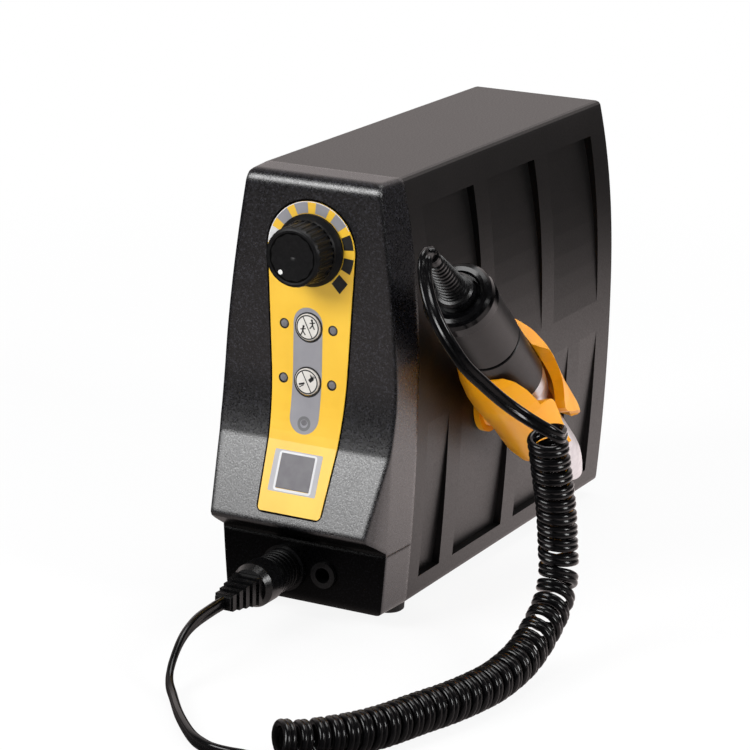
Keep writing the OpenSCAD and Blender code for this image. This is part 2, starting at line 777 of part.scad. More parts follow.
module cradle() {
    color([0.98, 0.6, 0.1]) on_tool() difference() {
        union() {
            rotate_extrude() polygon([[cup_r, cup_top], [cup_r + 0.9, cup_top + 0.3], [cup_out - 0.9, cup_top - 4],
                [cup_out + 0.6, cup_top - 11], [cup_max, -28], [cup_max, -34], [cup_out + 0.7, -44],
                [cup_out, -54], [cup_out - 0.3, -72], [cup_out - 2, -82], [cup_out - 4.4, cup_bottom],
                [nose_d / 2 + 3.4, cup_bottom], [nose_d / 2 + 3.4, -72], [cup_r, -50]]);
            difference() {
                translate([-cradle_out, 0, disc_s]) rotate([0, 90, 0]) {
                    cylinder(d = disc_d, h = 2.6);
                    translate([0, 0, 2.5]) cylinder(r1 = 10, r2 = 8, h = cradle_out - cup_r - 3);
                }
                translate([0, 0, cup_bottom]) cylinder(r = cup_r + 1, h = cup_top - cup_bottom);
            }
        }
        intersection() {
            oblique_cut(rim_s, rim_drop, rim_dir, true);
            rotate([0, 0, slot_dir + 180]) translate([-60, -60, -100]) cube([120, 64, 120]);
        }
        oblique_cut(cup_bottom + 4, 13, lower_dir, false);
        rotate([90, 0, slot_dir + 90]) linear_extrude(40) polygon(slot_edge);
        translate([-cradle_out - 1, 0, disc_s]) rotate([0, 90, 0]) cylinder(d = 3.3, h = 14);
        translate([-cradle_out + 4, 0, disc_s]) rotate([0, 90, 0]) cylinder(d = 6.6, h = 14);
    }
}

module cradle_screw() {
    color([0.6, 0.6, 0.62]) on_tool() translate([-cradle_out + 4, 0, disc_s]) rotate([0, 90, 0]) rotate_extrude()
        polygon([[0, -12], [1.5, -12], [1.5, 0], [3.1, 0], [3.1, 1.2], [2.4, 1.8], [0.9, 1.8], [0.9, 0.9], [0, 0.9]]);
}

// ---- handpiece ----

module cord_boot() {
    base = cap_s + cap_l - 1.6;
    color([0.06, 0.06, 0.065]) on_tool() rotate_extrude() polygon(concat(
        [[0, cap_s + 4], [7.85, cap_s + 4], [7.85, base + 3], [7, base + 3.8], [5.9, base + 4.2]],
        [for (i = [0:10], p = [[0, 0.3], [0, 1.1], [-0.6, 1.35], [-0.6, 1.7]])
            [5.9 - i * 0.24 + p[0], base + 4.2 + i * (boot_l - 6.2) / 11 + p[1]]],
        [[3, base + boot_l + 0.4], [2.9, base + boot_l + 1.6], [0, base + boot_l + 1.6]]));
}

boot_tip = cap_s + cap_l + boot_l;

module rear_cap() {
    r = sleeve_d / 2 + 0.6;
    color([0.07, 0.07, 0.075]) on_tool() rotate_extrude() polygon([
        [7.9, cap_s + 3], [r - 2.4, cap_s + 3], [r - 2.4, cap_s], [r, cap_s], [r, cap_s + 4.6],
        [r - 0.5, cap_s + 6.8], [r - 1.5, cap_s + 8.3], [r - 3, cap_s + 8.9],
        [10, cap_s + cap_l - 1.2], [9.2, cap_s + cap_l - 2.2], [7.9, cap_s + cap_l - 2.4]]);
}

module upper_sleeve() {
    r = sleeve_d / 2;
    color([0.16, 0.16, 0.17]) on_tool() rotate_extrude() polygon([
        [can_r + 0.05, 0.8], [r - 0.5, 0.8], [r - 0.25, 1.1], [r, cap_s - 0.5], [r - 0.3, cap_s],
        [can_r + 0.05, cap_s]]);
}

module grip_ring() {
    color([0.05, 0.05, 0.05]) on_tool() tube(grip_d / 2 - 0.7, can_r + 0.05, -0.7, 0.8);
}

module lower_sleeve() {
    r = grip_d / 2;
    color([0.16, 0.16, 0.17]) on_tool() rotate_extrude() polygon([
        [can_r + 0.05, -0.7], [r - 0.3, -0.7], [r, -1], [r - 0.1, grip_s + 0.4], [r - 0.4, grip_s],
        [bearing_r + 3, grip_s], [bearing_r + 3, grip_s + 2], [can_r + 0.05, grip_s + 2]]);
}

module motor_can() {
    color([0.7, 0.7, 0.72]) on_tool() {
        difference() {
            union() {
                tube(can_r, can_r - 1, can_low, can_high);
                tube(can_r, bearing_r, can_low, can_low + 2);
                tube(can_r, bearing_r, can_high - 2, can_high);
                tube(bearing_r + 1.5, bearing_r, can_low - 3, can_low);
            }
        }
    }
}

module motor_magnets() {
    color([0.3, 0.3, 0.32]) on_tool() for (a = [0, 180]) rotate([0, 0, a]) intersection() {
        tube(can_r - 1, can_r - 3, can_low + 5, can_high - 6);
        translate([0, -20, can_low]) rotate([0, 0, 0]) cube([20, 40, 60]);
        rotate([0, 0, 14]) translate([-20, 0, can_low]) cube([40, 20, 60]);
    }
}

module bearing_at(s0, s1, r_out, r_in) {
    color([0.8, 0.8, 0.82]) on_tool() tube(r_out, r_in + run_gap, s0, s1);
}

module rear_bearing() {
    bearing_at(can_high - 3, can_high, bearing_r, shaft_r);
}

module front_bearing() {
    bearing_at(can_low - 3, can_low + 1, bearing_r, shaft_r);
}

module nose_bearing() {
    bearing_at(tip_s + 18, tip_s + 24, 6, spindle_r);
}

module chuck_ring() {
    r = grip_d / 2 - 0.6;
    color([0.72, 0.72, 0.74]) on_tool() rotate_extrude() polygon([
        [10.55, grip_s - 0.3], [r - 0.3, grip_s - 0.3], [r, grip_s - 0.6], [r - 0.1, grip_s - 6],
        [r - 1.3, grip_s - ring_l + 0.4], [r - 1.7, grip_s - ring_l], [10.55, grip_s - ring_l]]);
}

module nose_cone() {
    r = nose_d / 2;
    s = nose_s;
    color([0.78, 0.78, 0.8]) on_tool() rotate_extrude() polygon([
        [6.05, grip_s], [10.5, grip_s], [10.5, s],
        [grip_d / 2 - 2.8, s], [grip_d / 2 - 3.1, s - 3], [r + 1.2, s - 16], [r + 0.3, s - 22],
        [r, s - 25], [r, tip_s + 23], [r - 0.4, tip_s + 18], [r - 1.5, tip_s + 12],
        [r - 3, tip_s + 6], [spindle_r + 1.2, tip_s + 1], [spindle_r + 0.8, tip_s],
        [spindle_r + 0.4, tip_s], [spindle_r + 0.4, tip_s + 18], [6.05, tip_s + 18]]);
}

module rotor() {
    color([0.7, 0.42, 0.2]) on_tool() tube(can_r - 3.6, shaft_r, can_low + 5, can_high - 5);
}

module spindle_shaft() {
    color([0.8, 0.8, 0.82]) on_tool() rotate_extrude() polygon([
        [0, can_high - 0.5], [shaft_r, can_high - 0.5], [shaft_r, can_low - 5], [spindle_r, can_low - 7],
        [spindle_r, tip_s + 0.4], [collet_r, tip_s + 0.4], [collet_r, tip_s + 20], [0, tip_s + 20]]);
}

module collet() {
    color([0.85, 0.85, 0.86]) on_tool() difference() {
        rotate_extrude() polygon([[shank_d / 2, tip_s - 1.4], [collet_r - 0.4, tip_s - 1.4],
            [collet_r, tip_s - 0.8], [collet_r, tip_s + 19], [shank_d / 2, tip_s + 19]]);
        for (a = [0, 120, 240]) rotate([0, 0, a]) translate([0, -0.2, tip_s - 2]) cube([5, 0.4, 9]);
    }
}

// ---- cord ----

function unit(v) = v / norm(v);

// point at t between points i and i + 1 of a smooth curve through p
function curve_at(p, i, t) = let (
        a = p[max(i - 1, 0)], b = p[i], c = p[i + 1], d = p[min(i + 2, len(p) - 1)])
    0.5 * (2 * b + (c - a) * t + (2 * a - 5 * b + 4 * c - d) * t * t + (3 * b - a - 3 * c + d) * t * t * t);

function curve(p, steps) = concat(
    [for (i = [0:len(p) - 2], k = [0:steps - 1]) curve_at(p, i, k / steps)], [p[len(p) - 1]]);

// flat oval of a cord, across its run: width, thickness, sides
function oval(w, t, sides) = [for (j = [0:sides - 1]) [w / 2 * cos(360 * j / sides), t / 2 * sin(360 * j / sides)]];

function xyz(v) = [v[0], v[1], v[2]];

// closed tube through rings of equal size
module skin(rings) {
    n = len(rings[0]);
    m = len(rings);
    points = [for (r = rings, p = r) p];
    faces = concat(
        [for (i = [0:m - 2], j = [0:n - 1]) let (a = i * n + j, b = i * n + (j + 1) % n) [a, b, b + n]],
        [for (i = [0:m - 2], j = [0:n - 1]) let (a = i * n + j, b = i * n + (j + 1) % n) [a, b + n, a + n]],
        [for (j = [1:n - 2]) [0, j + 1, j]],
        [for (j = [1:n - 2]) [(m - 1) * n, (m - 1) * n + j, (m - 1) * n + j + 1]]);
    polyhedron(points, faces);
}

// plain stretch: rings square to the run
module stretch(path, ref) {
    last = len(path) - 1;
    section = oval(cord_w, cord_t, cord_sides);
    skin([for (i = [0:last]) let (
            run = unit(path[min(i + 1, last)] - path[max(i - 1, 0)]),
            across = unit(cross(run, ref)),
            up = cross(across, run))
        [for (s = section) path[i] + across * s[0] + up * s[1]]]);
}

// centre, run and directions of the coil after u of its route
coil_r = (coil_d - cord_t) / 2;
coil_last = len(coil_points) - 1;
function coil_place(u) = let (i = min(floor(u), coil_last - 1)) curve_at(coil_points, i, u - i);
function coil_frame(u) = let (
        v = coil_place(u),
        e = 0.02,
        run = unit(xyz(coil_place(min(u + e, coil_last))) - xyz(coil_place(max(u - e, 0)))),
        side = unit(cross(run, coil_ref)),
        up = cross(side, run),
        turn = 360 * v[3] + coil_start_turn)
    [xyz(v), run, side * cos(turn) + up * sin(turn), up * cos(turn) - side * sin(turn)];

// place on the route where a number of turns is reached, by halving
function route_at(turns, lo = 0, hi = coil_last, n = 18) = n == 0 ? (lo + hi) / 2
    : let (mid = (lo + hi) / 2) coil_place(mid)[3] < turns
        ? route_at(turns, mid, hi, n - 1) : route_at(turns, lo, mid, n - 1);

coil_turns = coil_points[coil_last][3];
function curl_r(turns) = coil_r + end_flare * min(1, max(0, turns - coil_turns + 1.2));
coil_ring_count = round(coil_turns * coil_rings);
coil_section = [[0.5, 0], [0.3, 0.5], [-0.3, 0.5], [-0.5, 0], [-0.3, -0.5], [0.3, -0.5]];
coil_skin = [for (k = [0:coil_ring_count]) let (f = coil_frame(route_at(k / coil_rings)))
    [for (s = coil_section) f[0] + f[2] * (curl_r(k / coil_rings) + cord_t * s[1]) + f[1] * curl_w * s[0]]];

// least distance from the leading edge of one curl to the trailing edge of the next
coil_gap = min([for (k = [0:coil_ring_count - coil_rings - 1], d = [-1, 0, 1])
    if (k + coil_rings + d >= 0 && k + coil_rings + d <= coil_ring_count)
        norm(coil_skin[k][0] - coil_skin[k + coil_rings + d][3])]);
echo(coil_curls = coil_turns, least_coil_gap_mm = coil_gap, origin_shift_mm = [mid_x, mid_y]);
echo(lead_ends = [coil_first(), boot_end], tail_starts = coil_final(), tail_heads = coil_final_run());

function coil_end_point(u) = let (f = coil_frame(u)) f[0] + f[2] * curl_r(u > 0 ? coil_turns : 0);
function coil_end_run(u) = coil_frame(u)[3];

tool_run = [0, -cos(tool_tilt), sin(tool_tilt)];
boot_end = [tool_x, tool_y, tool_z] + tool_run * boot_tip;
plug_end = [socket_x, -plug_l, socket_z];

function coil_first() = coil_end_point(0);
function coil_final() = coil_end_point(coil_last);
function coil_final_run() = coil_end_run(coil_last);

lead_path = concat(
    [boot_end],
    curve(concat([boot_end + tool_run * straight_run], lead_points,
        [coil_first() - coil_end_run(0) * straight_run]), lead_steps),
    [coil_first()]);

tail_path = concat(
    [coil_final()],
    curve(concat([coil_final() + coil_final_run() * straight_run], tail_points,
        [plug_end - [0, cord_w, 0]]), tail_steps),
    [plug_end]);

module cord_lead() {
    color([0.05, 0.05, 0.055]) in_frame() stretch(lead_path, lead_ref);
}

module curly_cord() {
    color([0.05, 0.05, 0.055]) in_frame() skin(coil_skin);
}

module cord_tail() {
    color([0.05, 0.05, 0.055]) in_frame() stretch(tail_path, tail_ref);
}

front_bezel();
socket_panel();
housing();
rear_panel();
feet();
foot_screws();
rear_screws();
control_label();
display_window();
indicator_leds();
display_module();
control_board();
button_switches();
speed_pot();
pot_shaft();
knob();
knob_pointer();
direction_button();
mode_button();
transformer_core();
transformer_coil();
driver_board();
heat_sink();
handpiece_socket();
pedal_jack();
mains_inlet();
switch_frame();
power_rocker();
fuse_holder();
cradle();
cradle_screw();
cord_boot();
rear_cap();
upper_sleeve();
grip_ring();
lower_sleeve();
motor_can();
motor_magnets();
rear_bearing();
front_bearing();
nose_cone();
nose_bearing();
chuck_ring();
rotor();
spindle_shaft();
collet();
cord_lead();
curly_cord();
cord_tail();
cord_plug();
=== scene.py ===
import math

import bmesh
import bpy
from mathutils import Matrix, Vector


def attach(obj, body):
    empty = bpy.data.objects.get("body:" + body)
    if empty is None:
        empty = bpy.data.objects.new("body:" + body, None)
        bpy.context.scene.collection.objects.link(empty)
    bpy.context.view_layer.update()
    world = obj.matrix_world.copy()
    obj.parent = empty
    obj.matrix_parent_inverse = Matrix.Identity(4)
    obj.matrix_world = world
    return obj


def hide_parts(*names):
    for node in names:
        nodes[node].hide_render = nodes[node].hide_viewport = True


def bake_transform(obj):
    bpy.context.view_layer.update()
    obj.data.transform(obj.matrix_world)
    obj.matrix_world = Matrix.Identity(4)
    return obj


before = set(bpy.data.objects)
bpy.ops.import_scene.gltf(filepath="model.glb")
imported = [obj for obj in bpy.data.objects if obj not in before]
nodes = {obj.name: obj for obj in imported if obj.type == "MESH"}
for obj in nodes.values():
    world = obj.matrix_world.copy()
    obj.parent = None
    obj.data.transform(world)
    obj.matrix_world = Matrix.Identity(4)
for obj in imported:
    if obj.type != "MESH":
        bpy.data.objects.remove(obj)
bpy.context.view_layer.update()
print("stage: frame loaded")

# shared measures, in the console's millimetres
shift = {"x": 19.2661, "y": 99.2951}
case = {"faceY": 3, "sweepZ": 104, "sweepR": 107, "chinAngle": 22.8, "creaseZ": 73}
label = {"half": 19.3, "footHalf": 14, "low": 46.6, "thick": 0.5, "knobZ": 151, "cornerR": 2.2}
panel = {"x": -0.6, "directionZ": 119.8, "modeZ": 97.6, "powerZ": 80.8, "buttonR": 5.4, "proud": 0.8,
         "lampX": 10.9}
tool = {"x": 60.05, "y": 37.5, "z": 115.5, "tilt": 41.5}


def rowPoint(x, y, z):
    return Vector(((x - shift["x"]) / 1000, (y - shift["y"]) / 1000, z / 1000))


def toolAxis():
    # a point on the handpiece's axis and the way the axis runs towards the cord
    tilt = math.radians(tool["tilt"])
    return Vector((tool["x"], tool["y"], tool["z"])), Vector((0, -math.cos(tilt), math.sin(tilt)))


def toolPoint(radius, turn, s):
    # a point beside the handpiece's axis: turn 0 points away from the housing
    base, along = toolAxis()
    across = Vector((0, along.z, -along.y))
    p = base + along * s + Vector((1, 0, 0)) * radius * math.cos(turn) + across * radius * math.sin(turn)
    return rowPoint(*p)


def scaleNode(tree, value, fromRange, toRange, smooth=True):
    node = tree.nodes.new("ShaderNodeMapRange")
    if smooth:
        node.interpolation_type = "SMOOTHSTEP"
    node.inputs["From Min"].default_value, node.inputs["From Max"].default_value = fromRange
    node.inputs["To Min"].default_value, node.inputs["To Max"].default_value = toRange
    tree.links.new(value, node.inputs["Value"])
    return node.outputs["Result"]


def mathNode(tree, operation, first, second):
    node = tree.nodes.new("ShaderNodeMath")
    node.operation = operation
    for socket, value in zip(node.inputs, (first, second)):
        if isinstance(value, (int, float)):
            socket.default_value = value
        else:
            tree.links.new(value, socket)
    return node.outputs[0]


# painted shade under the chin's lip and on faces turned up, used by the bezel's finish
# heights are in metres; sides and flats are how much a face points sideways and up
lipShade = {"heights": (0.0400, 0.0424), "sides": (0.5, 0.9), "flats": (0.6, 0.95), "under": 0.9,
            "top": 0.35}


def paintShadeUnderLip(tree, coords, shader, colour, gloss):
    # painted shade: under the chin's lip all but the sides gets a dimmer colour and less shine; tops shine
    # less too, as painted shade on faces turned up
    spec = lipShade
    facing = tree.nodes.new("ShaderNodeSeparateXYZ")
    tree.links.new(coords.outputs["Normal"], facing.inputs[0])
    place = tree.nodes.new("ShaderNodeSeparateXYZ")
    tree.links.new(coords.outputs["Object"], place.inputs[0])
    sideways = mathNode(tree, "ABSOLUTE", facing.outputs["X"], 0)
    under = mathNode(tree, "MULTIPLY", scaleNode(tree, sideways, spec["sides"], (1, 0)),
                     scaleNode(tree, place.outputs["Z"], spec["heights"], (1, 0)))
    upper = scaleNode(tree, facing.outputs["Z"], spec["flats"], (1, spec["top"]))
    left = mathNode(tree, "MULTIPLY_ADD", under, -spec["under"])
    left.node.inputs[2].default_value = 1
    shine = mathNode(tree, "MULTIPLY", mathNode(tree, "MULTIPLY", left, upper), gloss)
    tree.links.new(shine, shader.inputs["Specular IOR Level"])
    shadedColour = tree.nodes.new("ShaderNodeVectorMath")
    shadedColour.operation = "SCALE"
    tree.links.new(colour, shadedColour.inputs[0])
    tree.links.new(left, shadedColour.inputs["Scale"])
    tree.links.new(shadedColour.outputs[0], shader.inputs["Base Color"])


def grainMaterial(name, spec):
    material = bpy.data.materials.new(name)
    material.use_nodes = True
    tree = material.node_tree
    shader = tree.nodes["Principled BSDF"]
    coords = tree.nodes.new("ShaderNodeTexCoord")

    def noiseNode(scale, detail):
        noise = tree.nodes.new("ShaderNodeTexNoise")
        noise.inputs["Scale"].default_value = scale
        noise.inputs["Detail"].default_value = detail
        tree.links.new(coords.outputs["Object"], noise.inputs["Vector"])
        return noise

    cloud = noiseNode(spec["cloud"], 3)
    ramp = tree.nodes.new("ShaderNodeValToRGB")
    ramp.color_ramp.elements[0].position = spec.get("from", 0.35)
    ramp.color_ramp.elements[1].position = spec.get("to", 0.7)
    ramp.color_ramp.elements[0].color = (*spec["dark"], 1)
    ramp.color_ramp.elements[1].color = (*spec["light"], 1)
    tree.links.new(cloud.outputs["Fac"], ramp.inputs["Fac"])
    tree.links.new(ramp.outputs["Color"], shader.inputs["Base Color"])
    fine = noiseNode(spec["grain"], 2)
    rough = scaleNode(tree, fine.outputs["Fac"], (0.3, 0.7), spec["rough"], smooth=False)
    tree.links.new(rough, shader.inputs["Roughness"])
    bump = tree.nodes.new("ShaderNodeBump")
    bump.inputs["Strength"].default_value = spec.get("bump", 0.05)
    bump.inputs["Distance"].default_value = spec.get("deep", 0.0001)
    tree.links.new(fine.outputs["Fac"], bump.inputs["Height"])
    tree.links.new(bump.outputs["Normal"], shader.inputs["Normal"])
    if spec.get("edge"):
        # edges shade as if they were rounded
        edge = tree.nodes.new("ShaderNodeBevel")
        edge.samples = 6
        edge.inputs["Radius"].default_value = spec["edge"]
        tree.links.new(edge.outputs["Normal"], bump.inputs["Normal"])
    shader.inputs["Metallic"].default_value = spec.get("metal", 0)
    shader.inputs["Specular IOR Level"].default_value = spec.get("gloss", 0.5)
    shader.inputs["Subsurface Weight"].default_value = spec.get("soft", 0)
    shader.inputs["Subsurface Scale"].default_value = 0.004
    # painted shade under the chin's lip and on tops, for the finishes that ask for it
    if spec.get("lip"):
        paintShadeUnderLip(tree, coords, shader, ramp.outputs["Color"], spec["gloss"])
    return material


finishes = {
    "black_shell": {"dark": (0.0015, 0.0013, 0.0013), "light": (0.0035, 0.003, 0.003), "cloud": 40,
                    "grain": 1500, "rough": (0.38, 0.50), "bump": 0.35, "deep": 0.00006, "gloss": 0.42},
    # the bezel's finish asks for painted shade under the chin's lip and on its tops
    "bezel_black": {"dark": (0.003, 0.003, 0.004), "light": (0.026, 0.026, 0.033), "cloud": 1250,
                    "from": 0.52, "to": 0.70, "grain": 1500, "rough": (0.22, 0.38), "bump": 0.32,
                    "deep": 0.0001, "gloss": 0.84, "edge": 0.0026, "lip": True},
    "gap_black": {"dark": (0.001, 0.001, 0.001), "light": (0.002, 0.002, 0.002), "cloud": 400,
                  "grain": 1500, "rough": (0.8, 0.9), "gloss": 0.04},
    "rubber": {"dark": (0.008, 0.008, 0.008), "light": (0.014, 0.014, 0.014), "cloud": 200,
               "grain": 1500, "rough": (0.6, 0.8), "bump": 0.3},
    "screw_steel": {"dark": (0.42, 0.42, 0.43), "light": (0.55, 0.55, 0.56), "cloud": 700,
                    "grain": 3000, "rough": (0.25, 0.4), "metal": 1},
    "label_film": {"dark": (0.86, 0.50, 0.028), "light": (0.92, 0.56, 0.04), "cloud": 60, "grain": 2500,
                   "rough": (0.34, 0.42), "bump": 0.1},
    "window": {"dark": (0.13, 0.124, 0.136), "light": (0.155, 0.149, 0.16), "cloud": 300, "grain": 2500,
               "rough": (0.34, 0.44), "gloss": 0.3},
    "led_grey": {"dark": (0.15, 0.145, 0.155), "light": (0.18, 0.175, 0.185), "cloud": 900,
                 "grain": 2500, "rough": (0.5, 0.6), "gloss": 0.25},
    "circuit_board": {"dark": (0.01, 0.09, 0.04), "light": (0.02, 0.16, 0.07), "cloud": 400,
                      "grain": 1500, "rough": (0.35, 0.5)},
    "dark_plastic": {"dark": (0.012, 0.012, 0.013), "light": (0.02, 0.02, 0.022), "cloud": 300,
                     "grain": 1500, "rough": (0.4, 0.55)},
    "steel": {"dark": (0.50, 0.50, 0.51), "light": (0.66, 0.66, 0.67), "cloud": 120, "grain": 2500,
              "rough": (0.2, 0.34), "metal": 1},
    "knob_black": {"dark": (0.005, 0.005, 0.0054), "light": (0.0085, 0.0083, 0.0088), "cloud": 900,
                   "grain": 1500, "rough": (0.34, 0.46), "gloss": 0.16, "bump": 0.3, "deep": 0.00004},
    "white_paint": {"dark": (0.7, 0.7, 0.68), "light": (0.85, 0.85, 0.82), "cloud": 900, "grain": 2500,
                    "rough": (0.4, 0.5)},
    "button_white": {"dark": (0.66, 0.63, 0.58), "light": (0.74, 0.71, 0.66), "cloud": 200,
                     "grain": 2000, "rough": (0.35, 0.45)},
    "core_steel": {"dark": (0.2, 0.2, 0.21), "light": (0.3, 0.3, 0.31), "cloud": 600, "grain": 2500,
                   "rough": (0.4, 0.6), "metal": 1},
    "copper": {"dark": (0.5, 0.2, 0.08), "light": (0.66, 0.3, 0.12), "cloud": 600, "grain": 2500,
               "rough": (0.3, 0.45), "metal": 1},
    "aluminium": {"dark": (0.5, 0.5, 0.52), "light": (0.6, 0.6, 0.62), "cloud": 400, "grain": 2500,
                  "rough": (0.3, 0.45), "metal": 1},
    "socket_black": {"dark": (0.002, 0.002, 0.0022), "light": (0.004, 0.004, 0.0045), "cloud": 400,
                     "grain": 1500, "rough": (0.25, 0.4), "gloss": 0.3},
    "rocker_red": {"dark": (0.42, 0.015, 0.01), "light": (0.5, 0.025, 0.015), "cloud": 300,
                   "grain": 2000, "rough": (0.25, 0.35)},
    "cradle_amber": {"dark": (0.98, 0.37, 0.004), "light": (1.0, 0.42, 0.008), "cloud": 50,
                     "grain": 1800, "rough": (0.32, 0.42), "soft": 0.1, "gloss": 0.22},
    "boot_black": {"dark": (0.002, 0.002, 0.0022), "light": (0.004, 0.004, 0.0045), "cloud": 500,
                   "grain": 1800, "rough": (0.24, 0.34), "gloss": 0.4},
    "cap_black": {"dark": (0.0012, 0.0012, 0.0014), "light": (0.003, 0.003, 0.0034), "cloud": 300,
                  "grain": 1800, "rough": (0.12, 0.2), "gloss": 0.24},
    "sleeve_black": {"dark": (0.006, 0.0054, 0.0054), "light": (0.009, 0.0082, 0.0082), "cloud": 200,
                     "grain": 2600, "rough": (0.34, 0.44), "bump": 0.2, "deep": 0.00004, "gloss": 0.27},
    "magnet": {"dark": (0.08, 0.08, 0.085), "light": (0.12, 0.12, 0.125), "cloud": 500, "grain": 2500,
               "rough": (0.4, 0.5), "metal": 0.6},
    "cord_black": {"dark": (0.0015, 0.0015, 0.0018), "light": (0.003, 0.003, 0.0034), "cloud": 300,
                   "grain": 1600, "rough": (0.15, 0.24), "gloss": 0.3},
    "print_black": {"dark": (0.012, 0.012, 0.012), "light": (0.02, 0.02, 0.02), "cloud": 400,
                    "grain": 2500, "rough": (0.35, 0.45)},
    "print_grey": {"dark": (0.27, 0.265, 0.285), "light": (0.31, 0.305, 0.325), "cloud": 90,
                   "grain": 2500, "rough": (0.32, 0.42)},
    "print_dim": {"dark": (0.15, 0.15, 0.155), "light": (0.18, 0.18, 0.185), "cloud": 90, "grain": 2500,
                  "rough": (0.32, 0.42)},
    "print_light": {"dark": (0.36, 0.355, 0.375), "light": (0.41, 0.405, 0.42), "cloud": 90,
                    "grain": 2500, "rough": (0.32, 0.42)},
    "print_pale": {"dark": (0.62, 0.62, 0.63), "light": (0.72, 0.72, 0.72), "cloud": 90, "grain": 2500,
                   "rough": (0.32, 0.42)},
    # this palest colour draws only the painted highlight along the label's edge
    "painted_highlight_white": {"dark": (0.78, 0.77, 0.79), "light": (0.84, 0.83, 0.85), "cloud": 90, "grain": 2500,
                    "rough": (0.32, 0.42)},
}
materials = {name: grainMaterial("look_" + name, spec) for name, spec in finishes.items()}
for name, node in nodes.items():
    for slot in node.material_slots:
        look = slot.material.name.split(".")[0]
        slot.material = materials["gap_black" if name == "grip_ring" else look]
print("stage: materials")


def finishPiece(name, bm, material, body, smooth=35):
    bmesh.ops.recalc_face_normals(bm, faces=bm.faces)
    mesh = bpy.data.meshes.new(name)
    bm.to_mesh(mesh)
    bm.free()
    piece = bpy.data.objects.new(name, mesh)
    bpy.context.scene.collection.objects.link(piece)
    mesh.materials.append(materials[material])
    mesh.shade_smooth()
    mesh.set_sharp_from_angle(angle=math.radians(smooth))
    if body:
        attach(piece, body)
    return piece


# the cord: lead, curls and tail in one length
cordSpec = {"width": 5.5, "curlWidth": 5.0, "thick": 2.8, "coilR": 6.6, "flare": 0.9, "flareTurns": 1.2,
            "startTurn": 120, "stepsPerTurn": 24, "turnOver": 30, "web": 0.8, "ridgeSteps": 9,
            "runOut": 3.2, "plugRun": 5.6, "stepsPerPoint": 6, "coilFacing": (1, -0.3, 0),
            "leadFacing": (0.5, -0.8, 0.3), "tailFacing": (1, 1, 0), "bootTip": 66.5,
            "plugEnd": (-8.5, -49, 19.4)}
# the route in the console's millimetres, and for the coil's axis the turns so far
leadPoints = [
    (61, -19.5, 160.5), (62.4, -22.6, 156.5), (65.5, -26.8, 151.5), (69.5, -30, 145), (73.7, -30.8, 138),
    (77.4, -28.8, 131), (81.4, -24.2, 122.5), (85.5, -17.5, 115), (90.3, -10, 107.2), (95.6, -4.6, 101.4),
    (101, -1.8, 97.6), (105.6, 0.4, 94.8), (108, 3.3, 92.3)]
coilPoints = [
    (101, 8, 91, 0), (102, 11, 76.5, 2.5), (103, 15, 58.5, 5.6), (104, 16, 42, 8.5),
    (104.7, 15.5, 34, 9.65), (105.5, 12, 27.2, 10.65), (106.3, 6, 22, 11.65), (107, -2, 18, 12.85),
    (107.5, -12.5, 13.8, 14.3), (107.5, -25, 10.4, 16.1), (106.7, -42, 8.7, 18.55), (104.5, -56, 8.3, 20.8),
    (100.8, -71, 8.2, 23.3), (96, -85, 8.2, 25.75), (91, -100.5, 8.2, 28.6), (86.4, -111, 8.3, 30.6),
    (82, -119, 8.6, 32.2), (77, -127.2, 9.1, 33.8), (72.8, -134, 9.8, 34.9), (67.9, -142.2, 11.4, 36.1667)]
tailPoints = [
    (61, -139.6, 3.4), (56, -139.6, 3), (50, -141.3, 3), (44, -141.7, 3), (38.5, -140.2, 3),
    (29.7, -134.7, 3), (16.2, -121, 3), (4.5, -106.5, 3.1), (-1.8, -99, 5), (-5.2, -92, 8.8),
    (-7.4, -81.5, 15), (-8.3, -70, 18.4)]


def curveAt(p, i, t):
    # a smooth curve through the points, a share t on from the point i
    a, b, c, d = p[max(i - 1, 0)], p[i], p[i + 1], p[min(i + 2, len(p) - 1)]
    square = (2 * a - 5 * b + 4 * c - d) * t * t
    cube = (3 * b - a - 3 * c + d) * t * t * t
    return 0.5 * (2 * b + (c - a) * t + square + cube)


def curvePoints(p, steps):
    return [curveAt(p, i, k / steps) for i in range(len(p) - 1) for k in range(steps)] + [p[-1]]


coilRoute = [Vector(p) for p in coilPoints]


def coilPlace(u):
    i = min(int(u), len(coilRoute) - 2)
    return curveAt(coilRoute, i, u - i)


def coilFrame(u):
    last = len(coilRoute) - 1
    v = coilPlace(u)
    run = (coilPlace(min(u + 0.02, last)).xyz - coilPlace(max(u - 0.02, 0)).xyz).normalized()
    side = run.cross(Vector(cordSpec["coilFacing"])).normalized()
    up = side.cross(run)
    turn = 2 * math.pi * v[3] + math.radians(cordSpec["startTurn"])
    out = side * math.cos(turn) + up * math.sin(turn)
    around = up * math.cos(turn) - side * math.sin(turn)
    return v.xyz, run, out, around


def routeAt(turns):
    low, high = 0, len(coilRoute) - 1
    for _ in range(22):
        mid = (low + high) / 2
        low, high = (mid, high) if coilPlace(mid)[3] < turns else (low, mid)
    return (low + high) / 2


def curlR(turns):
    # the last curl is wider
    share = min(1, max(0, (turns - coilRoute[-1][3]) / cordSpec["flareTurns"] + 1))
    return cordSpec["coilR"] + cordSpec["flare"] * share


